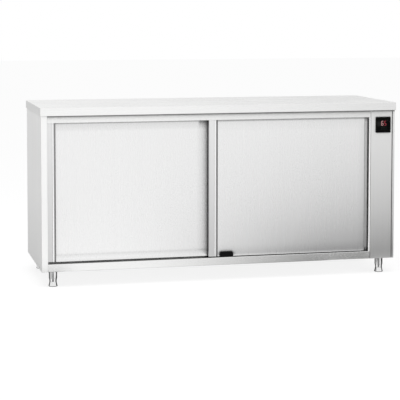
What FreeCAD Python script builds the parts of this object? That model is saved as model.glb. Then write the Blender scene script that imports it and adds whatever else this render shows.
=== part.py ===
import FreeCAD, Part
import math
import os
import re
import Sketcher

# Plate warmer cabinet: a stainless hot cupboard with two top-hung sliding doors,
# a control and heater column at the right and four adjustable feet.
# Millimetres. X runs left to right, the doors face -Y, Z is up and the origin is
# on the floor under the middle of the worktop.

SIZES = {
    # Overall
    "overall_length": 1800,
    "overall_depth": 600,
    "overall_height": 870,
    "leg_height": 78,
    "worktop_thickness": 40,
    "side_overhang": 4,
    "front_overhang": 8,
    "back_overhang": 3,
    # Sheet metal
    "frame_sheet": 1,
    "door_sheet": 0.8,
    "worktop_sheet": 1.5,
    "worktop_edge_radius": 2,
    "worktop_return": 18,
    "worktop_core_thickness": 18,
    "insulation_thickness": 27,
    # Front frame
    "stile_width": 30,
    "rail_height": 34,
    "rail_hem": 10,
    "sill_height": 38,
    "sill_lip": 7,
    "sill_drop": 12,
    "sill_return": 20,
    "back_return": 16,
    "post_width": 10,
    "post_return": 14,
    "seam_width": 4,
    "fascia_width": 112,
    "fascia_return": 13,
    "jamb_seam": 3,
    "jamb_flange": 16,
    # Doors and their gear
    "door_setback": 18,
    "door_thickness": 22,
    "door_spacing": 8,
    "door_overlap": 26,
    "left_end_gap": 2,
    "right_end_gap": 8,
    "door_bottom_gap": 1.5,
    "door_top_gap": 2,
    "door_travel": 740,
    "door_strip": 35,
    "strip_recess": 3,
    "strip_lip": 7,
    "groove_width": 8,
    "groove_depth": 13,
    "door_step_width": 17,
    "door_step_depth": 4,
    "door_return": 10,
    "track_height": 24,
    "track_wall": 2,
    "track_slot": 8,
    "track_end_gap": 3,
    "roller_radius": 8.5,
    "roller_width": 6,
    "roller_gap": 0.6,
    "roller_crown": 0.8,
    "axle_radius": 3,
    "hanger_inset": 120,
    "hanger_width": 34,
    "hanger_sheet": 3,
    "hanger_head_radius": 7,
    "hanger_foot_length": 70,
    "hanger_foot_width": 16,
    "hanger_foot_sheet": 1.6,
    "stop_length": 14,
    "stop_height": 10,
    "stop_gap": 0.4,
    # Bottom guide
    "guide_front_length": 65,
    "guide_offset": 55,
    "guide_height": 25,
    "guide_base": 8,
    "guide_wall": 6,
    "guide_front_wall": 9,
    "guide_corner_radius": 4,
    "guide_gap": 1,
    # Inside
    "shelf_height": 420,
    "shelf_sheet": 1.2,
    "shelf_edge": 24,
    "shelf_hem": 14,
    "shelf_side_gap": 2,
    "shelf_air_gap": 30,
    "shelf_front_gap": 6,
    "rail_leg": 26,
    "rail_ledge": 46,
    "rail_end_inset": 24,
    "centre_post_width": 30,
    "centre_post_depth": 20,
    # Heater
    "fan_height": 196,
    "fan_forward": 30,
    "fan_radius": 68,
    "fan_inlet_radius": 44,
    "fan_width": 26,
    "fan_blade_sheet": 1.5,
    "fan_disc_gap": 8,
    "fan_hub_radius": 12,
    "shaft_radius": 4,
    "motor_radius": 40,
    "motor_length": 58,
    "motor_flange_radius": 52,
    "motor_flange_sheet": 2.5,
    "motor_standoff": 16,
    "standoff_radius": 5,
    "standoff_inset": 9,
    "motor_bore_depth": 28,
    "heater_radius": 86,
    "heater_tube_radius": 4,
    "heater_lead_length": 60,
    "heater_lead_spacing": 30,
    "cowl_side": 216,
    "cowl_depth": 52,
    "cowl_flange": 12,
    "cowl_vent_height": 22,
    "cowl_slot_width": 5,
    "cowl_slot_pitch": 11,
    "partition_hole_radius": 9,
    # Controls
    "controller_side": 78,
    "controller_margin": 9,
    "controller_corner": 3,
    "controller_glass": 3,
    "housing_side": 70,
    "housing_depth": 46,
    "housing_gap": 0.5,
    "housing_rib": 3,
    "probe_radius": 3,
    "probe_length": 70,
    "probe_nut_radius": 7,
    "probe_nut_length": 8,
    "limiter_radius": 9,
    "limiter_height": 10,
    "limiter_flange": 15,
    "limiter_flange_sheet": 1.5,
    "limiter_rise": 190,
    "terminal_length": 76,
    "terminal_depth": 24,
    "terminal_height": 20,
    "terminal_screw_radius": 3,
    "terminal_screw_depth": 5,
    "terminal_pitch": 12,
    "terminal_inset": 90,
    # Back
    "service_width": 78,
    "service_bottom": 120,
    "service_top": 112,
    "service_lap": 8,
    "louvre_length": 56,
    "louvre_height": 6,
    "louvre_margin": 24,
    "cover_screw_radius": 3,
    "cover_screw_head": 2,
    "gland_radius": 11,
    "gland_bore": 5,
    "gland_nut_radius": 13,
    "gland_nut_length": 4,
    "gland_rise": 60,
    "gland_tail": 10,
    # Legs
    "leg_inset_side": 64,
    "leg_inset_end": 52,
    "leg_radius": 20,
    "leg_wall": 2,
    "leg_flange_radius": 27,
    "leg_flange_sheet": 3,
    "foot_height": 40,
    "foot_waist_height": 24,
    "foot_waist_radius": 16.5,
    "foot_bottom_radius": 21.8,
    "foot_rim_height": 4,
    "foot_edge": 1.5,
    "foot_stem_length": 34,
    # Clearances
    "curved_gap": 0.3,
    "bearing_gap": 0.08,
    "overrun": 5,
}

FAN_BLADES = 20
COWL_SLOTS = 9
LOUVRES = 18
TERMINALS = 5
# Where a hanger's sloped side meets its round head, in shares of the head's radius
HEAD_SHARES = (0.9, 0.436)
DIAGONAL_SHARE = 0.7071
# Impeller blade in shares of the wheel's radius: bow, inner end, outer end and lean
BLADE_SHARES = (0.6, 0.55, 0.93, 0.3)
SAME_LEVEL = 0.001
CORNERS = [("front_left", -1, -1), ("front_right", 1, -1), ("rear_left", -1, 1), ("rear_right", 1, 1)]

doc = FreeCAD.newDocument("plate_warmer_cabinet")
sheet = doc.addObject("Spreadsheet::Sheet", "Sizes")
for row, (alias, size) in enumerate(SIZES.items(), start=1):
    sheet.set(f"A{row}", alias.replace("_", " "))
    sheet.set(f"B{row}", str(size))
    sheet.setAlias(f"B{row}", alias)
doc.recompute()

nodes = []

# Planes of the cabinet, as expressions of the sheet's sizes
LEFT = "(-overall_length / 2 + side_overhang)"
RIGHT = "(overall_length / 2 - side_overhang)"
FRONT = "(-overall_depth / 2 + front_overhang)"
BACK = "(overall_depth / 2 - back_overhang)"
BOTTOM = "(leg_height)"
TOP = "(overall_height - worktop_thickness)"
SILL_TOP = f"({BOTTOM} + sill_height)"
SILL_FLOOR = f"({SILL_TOP} - sill_drop)"
RAIL_BOTTOM = f"({TOP} - rail_height)"
JAMB_LEFT = f"({LEFT} + stile_width)"
FASCIA_RIGHT = f"({RIGHT} - post_width - seam_width)"
FASCIA_LEFT = f"({FASCIA_RIGHT} - fascia_width)"
JAMB_RIGHT = f"({FASCIA_LEFT} - jamb_seam)"
DOOR_FRONT = f"({FRONT} + door_setback)"
DOOR_PITCH = "(door_thickness + door_spacing)"
TRACK_FRONT = f"({DOOR_FRONT} - door_spacing / 2)"
INNER_FRONT = f"({TRACK_FRONT} + 2 * {DOOR_PITCH})"
INNER_BACK = f"({BACK} - 2 * frame_sheet - insulation_thickness)"
TRACK_TOP = f"({TOP} - frame_sheet)"
TRACK_BOTTOM = f"({TRACK_TOP} - track_height)"
DOOR_TOP = f"({TRACK_BOTTOM} - door_top_gap)"
DOOR_BOTTOM = f"({SILL_TOP} + door_bottom_gap)"
CEILING = f"({TOP} - frame_sheet - insulation_thickness)"
DOOR_WIDTH = f"(({JAMB_RIGHT} - {JAMB_LEFT} - left_end_gap - right_end_gap + door_overlap) / 2)"
LEFT_DOOR = f"({JAMB_LEFT} + left_end_gap)"
RIGHT_DOOR = f"({JAMB_RIGHT} - right_end_gap - {DOOR_WIDTH})"
AXLE_HEIGHT = f"({TRACK_BOTTOM} + track_wall + roller_radius + curved_gap)"
SHELF_TOP = f"({SILL_TOP} + shelf_height)"
FAN_Y = f"(({INNER_FRONT} + {INNER_BACK}) / 2 - fan_forward)"
FAN_Z = f"({SILL_TOP} + fan_height)"
PARTITION_BACK = f"({JAMB_RIGHT} + frame_sheet)"
CONTROLLER_X = f"({FASCIA_RIGHT} - controller_margin - controller_side / 2)"
CONTROLLER_Z = f"({RAIL_BOTTOM} - controller_side / 2)"
SERVICE_X = f"(({PARTITION_BACK} + {RIGHT} - frame_sheet) / 2)"
SERVICE_Z = f"({BOTTOM} + service_bottom)"
SERVICE_TOP = f"({TOP} - service_top)"
GLAND_Z = f"({BOTTOM} + gland_rise)"
LEAD_Z = f"({FAN_Z} + heater_radius)"
LEAD_Y = (f"({FAN_Y} - heater_lead_spacing / 2)", f"({FAN_Y} + heater_lead_spacing / 2)")
PROBE_Z = f"(({SHELF_TOP} + {CEILING}) / 2)"

# Each door: name, left edge, lane (0 in front, 1 behind) and the way it slides
DOORS = (("left_door", LEFT_DOOR, 1, 1), ("right_door", RIGHT_DOOR, 0, -1))
HANGERS = (("left", "hanger_inset"), ("right", f"({DOOR_WIDTH} - hanger_inset)"))


def tied(text):
    """Expression with the sheet's name before each of its sizes."""
    return re.sub(r"[a-z]\w*", lambda word: f"Sizes.{word[0]}" if word[0] in SIZES else word[0], text)


def number(text):
    """Present value of an expression."""
    return float(sheet.evalExpression(tied(text)))


def bind(piece, **properties):
    """Bind properties of a document object to expressions of the sheet's sizes."""
    for name, text in properties.items():
        piece.setExpression(name, tied(text))
    return piece


def place(piece, x="0", y="0", z="0"):
    """Bind the place of a document object."""
    for axis, text in zip("xyz", (x, y, z)):
        piece.setExpression(f".Placement.Base.{axis}", tied(text))
    return piece


def box(name, x, y, z):
    """Block between two planes on each axis, given as pairs of expressions."""
    block = doc.addObject("Part::Box", name)
    bind(block, Length=f"({x[1]}) - ({x[0]})", Width=f"({y[1]}) - ({y[0]})", Height=f"({z[1]}) - ({z[0]})")
    return place(block, x[0], y[0], z[0])


TURNS = {
    "X": FreeCAD.Rotation(FreeCAD.Vector(0, 1, 0), 90),
    "Y": FreeCAD.Rotation(FreeCAD.Vector(1, 0, 0), -90),
    "Z": FreeCAD.Rotation(),
}


def cylinder(name, axis, radius, length, x, y, z):
    """Round bar that starts at a point and runs along a positive axis."""
    bar = doc.addObject("Part::Cylinder", name)
    bar.Placement = FreeCAD.Placement(FreeCAD.Vector(), TURNS[axis])
    return place(bind(bar, Radius=radius, Height=length), x, y, z)


def cut(name, base, *tools):
    """Base less its tools."""
    tool = tools[0] if len(tools) == 1 else fuse(f"{name}_tools", *tools)
    result = doc.addObject("Part::Cut", name)
    result.Base = base
    result.Tool = tool
    return result


def fuse(name, *shapes):
    """Shapes joined into one."""
    result = doc.addObject("Part::MultiFuse", name)
    result.Shapes = list(shapes)
    return result


def group(name, *shapes):
    """Separate solids kept together under one name."""
    result = doc.addObject("Part::Compound", name)
    result.Links = list(shapes)
    return result


def node(name, piece):
    """Give a sub-part its label, which names its file."""
    piece.Label = name
    nodes.append(piece)
    return piece


def arc_between(start, end, radius):
    """Arc of a radius between two points, that bulges to the left for a positive radius."""
    middle = (start + end) / 2
    chord = end - start
    side = FreeCAD.Vector(-chord.y, chord.x, 0).normalize() * math.copysign(1, radius)
    rise = abs(radius) - math.sqrt(radius ** 2 - (chord.Length / 2) ** 2)
    return Part.Arc(start, middle + side * rise, end)


def sketch(body, plane, outline, offset="0"):
    """Closed sketch on one of a body's own planes.

    A point is a pair of expressions. A third one is the radius of the arc that
    leads to the next point, positive where it bulges to the left.
    """
    drawing = body.newObject("Sketcher::SketchObject", "Outline")
    support = [feature for feature in body.Origin.OriginFeatures if feature.Role == f"{plane}_Plane"]
    drawing.AttachmentSupport = (support[0], [""])
    drawing.MapMode = "FlatFace"
    drawing.setExpression(".AttachmentOffset.Base.z", tied(offset))
    corners = [FreeCAD.Vector(number(point[0]), number(point[1]), 0) for point in outline]
    ends = []
    for index, point in enumerate(outline):
        start = corners[index]
        end = corners[(index + 1) % len(corners)]
        curved = len(point) == 3
        edge = arc_between(start, end, number(point[2])) if curved else Part.LineSegment(start, end)
        drawing.addGeometry(edge, False)
        forward = (drawing.getPoint(index, 1) - start).Length <= (drawing.getPoint(index, 2) - start).Length
        ends.append((1, 2) if forward else (2, 1))
        if curved:
            held = drawing.addConstraint(Sketcher.Constraint("Radius", index, abs(number(point[2]))))
            drawing.setExpression(f"Constraints[{held}]", tied(f"abs({point[2]})"))
    for index, point in enumerate(outline):
        after = (index + 1) % len(outline)
        drawing.addConstraint(Sketcher.Constraint("Coincident", index, ends[index][1], after, ends[after][0]))
        distances = (("DistanceX", point[0], corners[index].x), ("DistanceY", point[1], corners[index].y))
        for kind, text, size in distances:
            held = drawing.addConstraint(Sketcher.Constraint(kind, index, ends[index][0], size))
            drawing.setExpression(f"Constraints[{held}]", tied(text))
    return drawing


def pad(name, plane, outline, span):
    """Body padded from a closed outline between two planes.

    XY outlines hold X and Y, YZ outlines Y and Z, XZ outlines X and Z.
    """
    body = doc.addObject("PartDesign::Body", name)
    offset = f"-({span[1]})" if plane == "XZ" else span[0]
    feature = body.newObject("PartDesign::Pad", "Pad")
    feature.Profile = sketch(body, plane, outline, offset)
    body.Tip = feature
    bind(feature, Length=f"({span[1]}) - ({span[0]})")
    return body


def folded(name, plane, path, span, gauge, side=1):
    """Folded sheet: a path of square bends, given a gauge to its left (or right with side -1)."""
    points = [(number(first), number(second)) for first, second in path]
    normals = []
    for (x0, y0), (x1, y1) in zip(points, points[1:]):
        along_x = abs(x1 - x0) > abs(y1 - y0)
        normals.append((0, side * int(math.copysign(1, x1 - x0))) if along_x
                       else (-side * int(math.copysign(1, y1 - y0)), 0))
    inner = []
    for index, (first, second) in enumerate(path):
        beside = {normals[max(index - 1, 0)], normals[min(index, len(normals) - 1)]}
        shift_x = sum(normal[0] for normal in beside)
        shift_y = sum(normal[1] for normal in beside)
        inner.append((f"{first} + ({shift_x}) * {gauge}", f"{second} + ({shift_y}) * {gauge}"))
    return pad(name, plane, list(path) + inner[::-1], span)


def turned(name, outline, axis, x, y, z):
    """Body revolved about its own axis, from an outline of radius and distance along the axis."""
    body = doc.addObject("PartDesign::Body", name)
    feature = body.newObject("PartDesign::Revolution", "Revolution")
    drawing = sketch(body, "XZ", outline)
    feature.Profile = drawing
    feature.ReferenceAxis = (drawing, ["V_Axis"])
    feature.Angle = 360
    body.Tip = feature
    body.Placement = FreeCAD.Placement(FreeCAD.Vector(), TURNS[axis])
    return place(body, x, y, z)


def round_edges(body, radius, chosen):
    """Fillet the edges of a body's last feature that a test on their ends picks."""
    doc.recompute()
    base = body.Tip
    names = [f"Edge{index}" for index, edge in enumerate(base.Shape.Edges, start=1)
             if chosen([vertex.Point for vertex in edge.Vertexes])]
    feature = body.newObject("PartDesign::Fillet", "Rounding")
    feature.Base = (base, names)
    bind(feature, Radius=radius)
    body.Tip = feature
    return body


def rectangle(x, y):
    """Outline of a rectangle from two pairs of expressions."""
    return [(x[0], y[0]), (x[1], y[0]), (x[1], y[1]), (x[0], y[1])]


def worktop():
    """Folded top sheet with a core board glued up inside it."""
    half_length = "overall_length / 2"
    half_depth = "overall_depth / 2"
    x = (f"-{half_length}", half_length)
    y = (f"-{half_depth}", half_depth)
    slab = pad("worktop_slab", "XY", rectangle(x, y), (TOP, "overall_height"))
    height = number("overall_height")
    round_edges(slab, "worktop_edge_radius", lambda ends: all(end.z > height - SAME_LEVEL for end in ends))
    inside_x = (f"-{half_length} + worktop_sheet", f"{half_length} - worktop_sheet")
    inside_y = (f"-{half_depth} + worktop_sheet", f"{half_depth} - worktop_sheet")
    inside_z = (f"({TOP} + worktop_sheet)", "(overall_height - worktop_sheet)")
    cavity = box("worktop_cavity", inside_x, inside_y, inside_z)
    mouth_x = (f"-{half_length} + worktop_return", f"{half_length} - worktop_return")
    mouth_y = (f"-{half_depth} + worktop_return", f"{half_depth} - worktop_return")
    mouth = box("worktop_mouth", mouth_x, mouth_y, (f"({TOP} - overrun)", f"({TOP} + 2 * worktop_sheet)"))
    node("worktop", cut("worktop_shell", slab, cavity, mouth))
    board_z = ("(overall_height - worktop_sheet - worktop_core_thickness)", inside_z[1])
    node("worktop_core", box("worktop_board", inside_x, inside_y, board_z))


def outer_shell():
    """Side panels, rails, jamb and fascia of the front, back panel and base."""
    span = (BOTTOM, TOP)
    gauge = "frame_sheet"
    back_left = (f"{LEFT} + back_return", BACK)
    back_right = (f"{RIGHT} - back_return", BACK)
    left_path = [(JAMB_LEFT, INNER_FRONT), (JAMB_LEFT, FRONT), (LEFT, FRONT), (LEFT, BACK), back_left]
    left_side = node("side_panel_left", folded("left_side", "XY", left_path, span, gauge, -1))
    post = f"({RIGHT} - post_width)"
    right_path = [(post, f"{FRONT} + post_return"), (post, FRONT), (RIGHT, FRONT), (RIGHT, BACK), back_right]
    right_side = node("side_panel_right", folded("right_side", "XY", right_path, span, gauge, 1))

    between = (JAMB_LEFT, JAMB_RIGHT)
    hem_end = f"({FRONT} + rail_hem)"
    rail_path = [(hem_end, RAIL_BOTTOM), (FRONT, RAIL_BOTTOM), (FRONT, TOP), (hem_end, TOP)]
    node("top_rail", folded("rail", "YZ", rail_path, between, gauge, -1))
    node("track_carrier", box("carrier", between, (hem_end, INNER_FRONT), (TRACK_TOP, TOP)))
    sill_path = [(f"{FRONT} + sill_return", BOTTOM), (FRONT, BOTTOM), (FRONT, SILL_TOP),
                 (f"{FRONT} + sill_lip", SILL_TOP), (f"{FRONT} + sill_lip", SILL_FLOOR),
                 (INNER_FRONT, SILL_FLOOR), (INNER_FRONT, SILL_TOP)]
    node("sill", folded("sill_strip", "YZ", sill_path, between, gauge, -1))

    jamb_path = [(JAMB_RIGHT, FRONT), (JAMB_RIGHT, INNER_FRONT), (f"{JAMB_RIGHT} + jamb_flange", INNER_FRONT)]
    jamb = node("right_jamb", folded("jamb", "XY", jamb_path, span, gauge, -1))

    fascia_inside = f"{FRONT} + fascia_return"
    fascia_path = [(FASCIA_LEFT, fascia_inside), (FASCIA_LEFT, FRONT), (FASCIA_RIGHT, FRONT),
                   (FASCIA_RIGHT, fascia_inside)]
    fascia = folded("fascia", "XY", fascia_path, span, gauge, 1)
    window = controller_block("fascia_window", "housing_side / 2 + housing_gap",
                              (f"({FRONT} - overrun)", f"({FRONT} + overrun)"))
    front = node("control_fascia", cut("fascia_with_window", fascia, window))

    inside = (f"({LEFT} + frame_sheet)", f"({RIGHT} - frame_sheet)")
    panel_y = (f"({BACK} - 2 * frame_sheet)", f"({BACK} - frame_sheet)")
    panel = box("back_sheet", inside, panel_y, (f"({BOTTOM} + 2 * frame_sheet)", TOP))
    hatch = service_opening("service_hatch", "0", (f"({panel_y[0]} - overrun)", f"({panel_y[1]} + overrun)"))
    gland_hole = cylinder("gland_hole", "Y", "gland_radius + curved_gap", "4 * overrun",
                          SERVICE_X, f"{BACK} - 2 * overrun", GLAND_Z)
    node("back_panel", cut("back_sheet_open", panel, hatch, gland_hole))

    base_y = (f"({FRONT} + frame_sheet)", panel_y[1])
    base_z = (f"({BOTTOM} + frame_sheet)", f"({BOTTOM} + 2 * frame_sheet)")
    base = box("base_sheet", inside, base_y, base_z)
    node("base_panel", cut("base_notched", base, left_side, right_side, jamb, front))


def controller_block(name, half, y):
    """Square block about the controller's centre."""
    x = (f"({CONTROLLER_X} - ({half}))", f"({CONTROLLER_X} + {half})")
    z = (f"({CONTROLLER_Z} - ({half}))", f"({CONTROLLER_Z} + {half})")
    return box(name, x, y, z)


def service_opening(name, lap, y):
    """Block over the service opening at the back of the column, wider by a lap on each side."""
    x = (f"({SERVICE_X} - service_width / 2 - {lap})", f"({SERVICE_X} + service_width / 2 + {lap})")
    z = (f"({SERVICE_Z} - {lap})", f"({SERVICE_TOP} + {lap})")
    return box(name, x, y, z)


def inner_shell():
    """Liners of the heated compartment and the insulation behind them."""
    x = (JAMB_LEFT, JAMB_RIGHT)
    y = (INNER_FRONT, INNER_BACK)
    outer_x = f"({LEFT} + frame_sheet)"
    liner_x = f"({JAMB_LEFT} - frame_sheet)"
    back_y = f"({INNER_BACK} + frame_sheet)"
    floor_z = f"({SILL_TOP} - frame_sheet)"
    base_z = f"({BOTTOM} + 2 * frame_sheet)"
    roof_z = f"({CEILING} - frame_sheet)"
    wide_x = (liner_x, PARTITION_BACK)
    node("liner_left", box("left_lining", (liner_x, JAMB_LEFT), y, (floor_z, CEILING)))
    node("back_liner", box("back_lining", wide_x, (INNER_BACK, back_y), (floor_z, CEILING)))
    floor_y = (f"({INNER_FRONT} + frame_sheet)", INNER_BACK)
    node("floor_liner", box("floor_lining", x, floor_y, (floor_z, SILL_TOP)))
    node("ceiling_liner", box("ceiling_lining", x, y, (roof_z, CEILING)))
    wall = box("partition_sheet", (JAMB_RIGHT, PARTITION_BACK), y, (floor_z, CEILING))
    shaft_hole = cylinder("partition_hole", "X", "partition_hole_radius", "2 * overrun",
                          f"{JAMB_RIGHT} - overrun", FAN_Y, FAN_Z)
    leads = [cylinder(f"lead_hole_{index}", "X", "heater_tube_radius + curved_gap", "2 * overrun",
                      f"{JAMB_RIGHT} - overrun", lead_y, LEAD_Z) for index, lead_y in enumerate(LEAD_Y)]
    probe_hole = cylinder("probe_hole", "X", "probe_radius + curved_gap", "2 * overrun",
                          f"{JAMB_RIGHT} - overrun", FAN_Y, PROBE_Z)
    node("partition", cut("partition_bored", wall, shaft_hole, probe_hole, *leads))

    left_x = (outer_x, liner_x)
    deep_y = (y[0], f"({BACK} - 2 * frame_sheet)")
    node("insulation_left", box("left_wool", left_x, deep_y, (base_z, CEILING)))
    node("insulation_back", box("back_wool", wide_x, (back_y, deep_y[1]), (floor_z, CEILING)))
    node("insulation_floor", box("floor_wool", wide_x, (floor_y[0], deep_y[1]), (base_z, floor_z)))
    node("insulation_ceiling", box("ceiling_wool", (outer_x, PARTITION_BACK), deep_y, (CEILING, TRACK_TOP)))


def shelving():
    """Middle shelf, the angles that carry its ends and back, and the post under its front."""
    under = f"({SHELF_TOP} - shelf_sheet)"
    front = f"({INNER_FRONT} + shelf_front_gap)"
    back = f"({INNER_BACK} - frame_sheet)"
    low = f"({SHELF_TOP} - shelf_edge)"
    shelf_x = (f"({JAMB_LEFT} + shelf_side_gap)", f"({JAMB_RIGHT} - shelf_air_gap)")
    path = [(f"{front} + shelf_hem", low), (front, low), (front, SHELF_TOP), (back, SHELF_TOP), (back, low),
            (f"{back} - shelf_hem", low)]
    node("shelf", folded("shelf_sheet_metal", "YZ", path, shelf_x, "shelf_sheet", -1))
    rail_y = (f"({front} + rail_end_inset)", f"({back} - rail_end_inset)")
    foot = f"({under} - rail_leg)"
    left_path = [(JAMB_LEFT, foot), (JAMB_LEFT, under), (f"{JAMB_LEFT} + rail_ledge", under)]
    right_path = [(JAMB_RIGHT, foot), (JAMB_RIGHT, under), (f"{JAMB_RIGHT} - rail_ledge", under)]
    node("shelf_end_rails", group("end_rails",
                                  folded("left_end_rail", "XZ", left_path, rail_y, "frame_sheet", -1),
                                  folded("right_end_rail", "XZ", right_path, rail_y, "frame_sheet", 1)))
    back_path = [(INNER_BACK, f"{low} - rail_leg"), (INNER_BACK, low), (f"{back} - shelf_hem", low)]
    node("shelf_back_rail", folded("rear_rail", "YZ", back_path, shelf_x, "frame_sheet", 1))
    half = "centre_post_width / 2"
    post_path = [(half, f"({front} + centre_post_depth)"), (half, front), (f"-({half})", front),
                 (f"-({half})", f"({front} + centre_post_depth)")]
    node("centre_post", folded("post", "XY", post_path, (SILL_TOP, low), "frame_sheet", -1))


def door_lane(lane):
    """Middle of a door's thickness: lane 0 is the front door, lane 1 the rear one."""
    return f"({DOOR_FRONT} + door_thickness / 2 + {lane} * {DOOR_PITCH})"


def door_track():
    """Double track under the top rail, one slotted channel for each door."""
    margins = ("track_wall", "track_wall / 2")
    lip = f"({TRACK_BOTTOM} + track_wall)"
    roof = f"({TRACK_TOP} - track_wall)"
    outline = [(TRACK_FRONT, TRACK_TOP), (TRACK_FRONT, TRACK_BOTTOM)]
    for lane in (0, 1):
        first = f"({TRACK_FRONT} + {lane} * {DOOR_PITCH} + {margins[lane]})"
        last = f"({TRACK_FRONT} + {lane + 1} * {DOOR_PITCH} - {margins[1 - lane]})"
        slot = (f"({door_lane(lane)} - track_slot / 2)", f"({door_lane(lane)} + track_slot / 2)")
        outline += [(slot[0], TRACK_BOTTOM), (slot[0], lip), (first, lip), (first, roof), (last, roof),
                    (last, lip), (slot[1], lip), (slot[1], TRACK_BOTTOM)]
    outline += [(INNER_FRONT, TRACK_BOTTOM), (INNER_FRONT, TRACK_TOP)]
    span = (f"({JAMB_LEFT} + track_end_gap)", f"({JAMB_RIGHT} - track_end_gap)")
    node("door_track", pad("track", "YZ", outline, span))


def track_stops():
    """Rubber buffers in the track, at both ends of each door's travel."""
    buffers = []
    for door, edge, lane, forward in DOORS:
        reach = "(roller_radius + stop_gap)"
        first = f"({edge} + {HANGERS[0][1]} - {reach})"
        last = f"({edge} + {HANGERS[1][1]} + {reach})"
        if forward > 0:
            last = f"({last} + door_travel)"
        else:
            first = f"({first} - door_travel)"
        middle = door_lane(lane)
        half = f"({DOOR_PITCH} / 2 - track_wall)"
        y = (f"({middle} - {half})", f"({middle} + {half})")
        z = (f"({TRACK_TOP} - track_wall - stop_height)", f"({TRACK_TOP} - track_wall)")
        buffers.append(box(f"{door}_first_stop", (f"({first} - stop_length)", first), y, z))
        buffers.append(box(f"{door}_last_stop", (last, f"({last} + stop_length)"), y, z))
    node("track_stops", group("buffers", *buffers))


def door(name, edge, lane):
    """One door: folded skin with sunk strip and finger groove, inner pan, insulation and hangers."""
    face = f"({DOOR_FRONT} + {lane} * {DOOR_PITCH})"
    rear = f"({face} + door_thickness)"
    far = f"({edge} + {DOOR_WIDTH})"
    groove = f"({edge} + door_strip)"
    groove_end = f"({groove} + groove_width)"
    groove_floor = f"({face} + groove_depth)"
    step = f"({far} - door_step_width)"
    step_face = f"({face} + door_step_depth)"
    strip_face = f"({face} + strip_recess)"
    lip = f"({groove} - strip_lip)"
    path = [(f"{edge} + door_return", rear), (edge, rear), (edge, strip_face), (lip, strip_face), (lip, face),
            (groove, face), (groove, groove_floor), (groove_end, groove_floor), (groove_end, face),
            (step, face), (step, step_face), (far, step_face), (far, rear), (f"{far} - door_return", rear)]
    skin_z = (f"({DOOR_BOTTOM} + door_sheet)", f"({DOOR_TOP} - door_sheet)")
    node(f"{name}_skin", folded(f"{name}_front", "XY", path, skin_z, "door_sheet"))
    pan_x = (f"({edge} + door_sheet)", f"({far} - door_sheet)")
    pan_back = f"({rear} - door_sheet)"
    pan_path = [(step_face, DOOR_BOTTOM), (pan_back, DOOR_BOTTOM), (pan_back, DOOR_TOP),
                (step_face, DOOR_TOP)]
    node(f"{name}_pan", folded(f"{name}_rear", "YZ", pan_path, pan_x, "door_sheet", 1))
    core_x = (f"({groove_end} + door_sheet)", f"({step} - door_sheet)")
    core_y = (f"({face} + door_sheet)", f"({pan_back} - door_sheet)")
    node(f"{name}_core", box(f"{name}_wool", core_x, core_y, skin_z))

    middle = door_lane(lane)
    brackets = []
    for side, inset in HANGERS:
        centre = f"({edge} + {inset})"
        foot_x = (f"({centre} - hanger_foot_length / 2)", f"({centre} + hanger_foot_length / 2)")
        foot_y = (f"({middle} - hanger_foot_width / 2)", f"({middle} + hanger_foot_width / 2)")
        foot = box(f"{name}_{side}_foot", foot_x, foot_y, (DOOR_TOP, f"({DOOR_TOP} + hanger_foot_sheet)"))
        blade_y = (f"({middle} - hanger_sheet / 2)", f"({middle} + hanger_sheet / 2)")
        half = "hanger_width / 2"
        head = f"{HEAD_SHARES[0]} * hanger_head_radius"
        shoulder = f"{AXLE_HEIGHT} + {HEAD_SHARES[1]} * hanger_head_radius"
        plate = [(f"{centre} - {half}", DOOR_TOP), (f"{centre} + {half}", DOOR_TOP),
                 (f"{centre} + {head}", shoulder, "-hanger_head_radius"), (f"{centre} - {head}", shoulder)]
        blade = pad(f"{name}_{side}_blade", "XZ", plate, blade_y)
        hole = cylinder(f"{name}_{side}_hole", "Y", "axle_radius + bearing_gap", "hanger_sheet + 2 * overrun",
                        centre, f"({blade_y[0]} - overrun)", AXLE_HEIGHT)
        brackets.append(cut(f"{name}_{side}_hanger", fuse(f"{name}_{side}_bracket", foot, blade), hole))
        inner = "(hanger_sheet / 2 + roller_gap)"
        outer = f"({inner} + roller_width)"
        rim = "(roller_radius - roller_crown)"
        crown = f"({inner} + {outer}) / 2"
        wheels = [("0", f"-{outer}"), (rim, f"-{outer}"), ("roller_radius", f"-{crown}"), (rim, f"-{inner}"),
                  ("axle_radius", f"-{inner}"), ("axle_radius", inner), (rim, inner),
                  ("roller_radius", crown), (rim, outer), ("0", outer)]
        roller = turned(f"{name}_{side}_wheels", wheels, "Y", centre, middle, AXLE_HEIGHT)
        node(f"{name}_roller_{side}", roller)
    node(f"{name}_hangers", group(f"{name}_brackets", *brackets))


def bottom_guide():
    """Nylon guide on the sill: a staggered channel for the foot of each door."""
    x0 = RIGHT_DOOR
    x1 = f"({RIGHT_DOOR} + guide_offset)"
    x2 = f"({x1} + guide_front_length)"
    split = f"({x1} + guide_wall)"
    front_y = f"({DOOR_FRONT} - guide_gap)"
    gap_front = f"({DOOR_FRONT} + door_thickness + guide_gap)"
    gap_back = f"({DOOR_FRONT} + {DOOR_PITCH} - guide_gap)"
    rear_y = f"({DOOR_FRONT} + {DOOR_PITCH} + door_thickness + guide_gap)"
    low = SILL_FLOOR
    base_top = f"({low} + guide_base)"
    crest = f"({SILL_TOP} + guide_height)"
    front_edge = f"({front_y} - guide_front_wall)"
    front_wall = pad("guide_front", "XZ", rectangle((x1, x2), (low, crest)), (front_edge, front_y))
    high = number(crest)
    round_edges(front_wall, "guide_corner_radius",
                lambda ends: all(end.z > high - SAME_LEVEL for end in ends)
                and abs(ends[0].y - ends[1].y) > SAME_LEVEL)
    walls = [front_wall,
             box("guide_base_front", (x1, x2), (front_edge, gap_back), (low, base_top)),
             box("guide_middle", (x0, x2), (gap_front, gap_back), (low, crest)),
             box("guide_base_rear", (x0, split), (gap_front, INNER_FRONT), (low, base_top)),
             box("guide_rear", (x0, split), (rear_y, INNER_FRONT), (low, crest))]
    node("bottom_guide", fuse("guide", *walls))


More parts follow.
